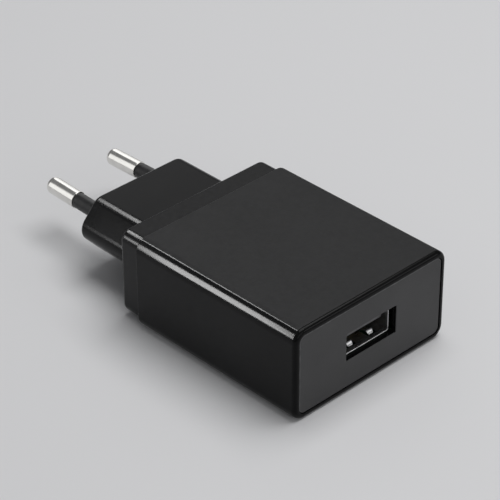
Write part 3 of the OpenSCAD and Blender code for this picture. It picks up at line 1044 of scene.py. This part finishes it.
def finish_cad_nodes():
    """Every CAD node gets the procedural material of its slot."""
    for part in frame["record"]["subparts"]:
        mesh = frame["nodes"][part["node"]].data
        mesh.materials.clear()
        mesh.materials.append(MATERIALS[part["material_slot"]])


def place(obj, slot, *nodes, body="charger"):
    """Gives a finished piece its material and its place in the assembly."""
    obj.data.materials.append(MATERIALS[slot])
    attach(obj, body)
    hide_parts(*nodes)
    return obj


# ---- stage, light and camera ----

def area_light(name, place_at, facing, width, height, radiance, up=(0, 0, 1), only=None):
    """A soft box of the given size in metres, unseen by the camera. up is the way its height runs."""
    light = bpy.data.lights.new(name, "AREA")
    light.shape = "RECTANGLE"
    light.size = width
    light.size_y = height
    light.energy = radiance * math.pi * width * height
    obj = link(bpy.data.objects.new(name, light))
    obj.visible_camera = False
    if only is not None:
        obj.light_linking.receiver_collection = only
    behind = -Vector(facing).normalized()
    across = Vector(up).cross(behind).normalized()
    turn = Matrix((across, behind.cross(across), behind)).transposed().to_4x4()
    obj.matrix_world = Matrix.Translation(place_at) @ turn
    return obj


def build_floor():
    bm = bmesh.new()
    steps = 40
    half = 3.0
    bmesh.ops.create_grid(bm, x_segments=steps, y_segments=steps, size=half)
    mesh = bpy.data.meshes.new("floor")
    bm.to_mesh(mesh)
    bm.free()
    floor = link(bpy.data.objects.new("floor", mesh))
    n = Nodes("floor_card")
    tone = n.ramp(n.noise(3, 2), ((0.3, (0.74, 0.74, 0.75)), (0.7, (0.76, 0.76, 0.77))))
    floor.data.materials.append(n.finish(tone, n.to_range(n.noise(40), 0.75, 0.85)))
    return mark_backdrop(floor)


def build_world():
    world = bpy.data.worlds.new("studio")
    world.use_nodes = True
    background = world.node_tree.nodes["Background"]
    background.inputs["Color"].default_value = (0.97, 0.98, 1.0, 1)
    background.inputs["Strength"].default_value = 0.2
    bpy.context.scene.world = world


def collection_of(name, *prefixes):
    """A collection of the visible pieces whose names start with one of the prefixes."""
    group = bpy.data.collections.new(name)
    for obj in bpy.context.scene.objects:
        if obj.type == "MESH" and obj.name.startswith(prefixes):
            group.objects.link(obj)
    return group


def build_lights():
    """Broad light for everything, and boxes that each light only the housing, the plug or the pins."""
    housing = collection_of("housing_group", "sleeve_", "panel_", "plate_", "port_")
    plug = collection_of("plug_group", "cap_")
    pins = collection_of("pin_group", "plug_pin", "pin_cover")
    area_light("side_box", (-0.1515, 0.094, 0.0966), (1, 0, 0), 0.058, 0.122, 44,
               up=(0, 0.367, 0.93), only=housing)
    area_light("rear_box", (-0.018, 0.204, 0.253), (0.0, -0.6, -0.8), 0.12, 0.034, 27, only=plug)
    area_light("cap_box", (-0.16, 0.117, 0.073), (0.741, -0.6, -0.299), 0.022, 0.06, 28,
               up=(0.375, 0, 0.927), only=plug)
    area_light("pin_side_box", (-0.135, 0.15, 0.099), (0.125, -0.115, -0.088), 0.1, 0.2, 0.95,
               only=pins)
    area_light("pin_far_box", (0.108, 0.15, 0.109), (-0.117, -0.115, -0.098), 0.1, 0.18, 0.8,
               only=pins)
    area_light("back_card", (0.29, 0.3, 0.3), (-0.59, -0.6, -0.54), 0.3, 0.2, 0.4)
    area_light("front_box", (0.43, -0.565, 0.27), (-0.58, 0.7, -0.36), 0.3, 0.2, 2.0, only=housing)
    area_light("overhead", (0.2, -0.06, 0.75), (-0.2, 0.05, -0.74), 0.6, 0.6, 3.5)
    area_light("front_fill", (-0.1, -0.8, 0.4), (0.1, 0.8, -0.38), 0.8, 0.5, 0.9)


def build_camera():
    """The view of the object: where the camera aims, its direction, distance and roll, in metres."""
    azimuth = math.radians(-43.91)
    elevation = math.radians(33.493)
    roll = math.radians(-0.345)
    distance = 0.46667
    target = Vector((-0.00755, -0.01754, 0.02198))
    back = Vector((
        math.sin(azimuth) * math.cos(elevation),
        -math.cos(azimuth) * math.cos(elevation),
        math.sin(elevation),
    ))
    level_right = Vector((math.cos(azimuth), math.sin(azimuth), 0))
    level_up = back.cross(level_right)
    right = math.cos(roll) * level_right + math.sin(roll) * level_up
    up = back.cross(right)
    camera_data = bpy.data.cameras.new("camera")
    camera_data.lens = 164.52
    camera_data.sensor_width = 36
    camera_data.clip_start = 0.02
    camera = link(bpy.data.objects.new("camera", camera_data))
    turn = Matrix((right, up, back)).transposed().to_4x4()
    camera.matrix_world = Matrix.Translation(target + back * distance) @ turn
    bpy.context.scene.camera = camera


# ---- assembly ----

build_camera()
finish_cad_nodes()
place(build_sleeve(), "gloss_black", "housing_sleeve")
place(build_panel(), "matte_black", "top_panel")
plate = place(build_plate(), "matte_grey_black", "face_plate")
# the further materials of the plate, in the order that build_plate numbers them: a darker gloss black as
# painted shade in the opening, a paler grey as a painted highlight on the bevel
for extra in ("gloss_black", "rubbed_grey_black"):
    plate.data.materials.append(MATERIALS[extra])
place(build_port_shell(), "receptacle_steel", "usb_shell")
place(build_tongue(), "receptacle_plastic", "usb_tongue")
for word, x in CONTACT_X.items():
    node = f"usb_contact_{word}"
    place(build_contact(f"port_contact_{word}", x), "gold_contact", node, body=node)
for height in ("lower", "upper"):
    for side, word in ((-1, "left"), (1, "right")):
        node = f"usb_spring_{height}_{word}"
        leaf = build_leaf(f"port_leaf_{height}_{word}", side, height == "upper")
        place(leaf, "receptacle_steel", node, body=node)
place(build_cap(), "satin_black", "rear_cap")
for side, word in ((-1, "left"), (1, "right")):
    place(build_pin(side, f"plug_pin_{word}"), "nickel_plate", f"pin_{word}")
    place(build_pin_sleeve(side, f"pin_cover_{word}"), "sleeve_black", f"pin_sleeve_{word}")
build_floor()
build_world()
build_lights()
bpy.context.scene.view_settings.view_transform = "Standard"
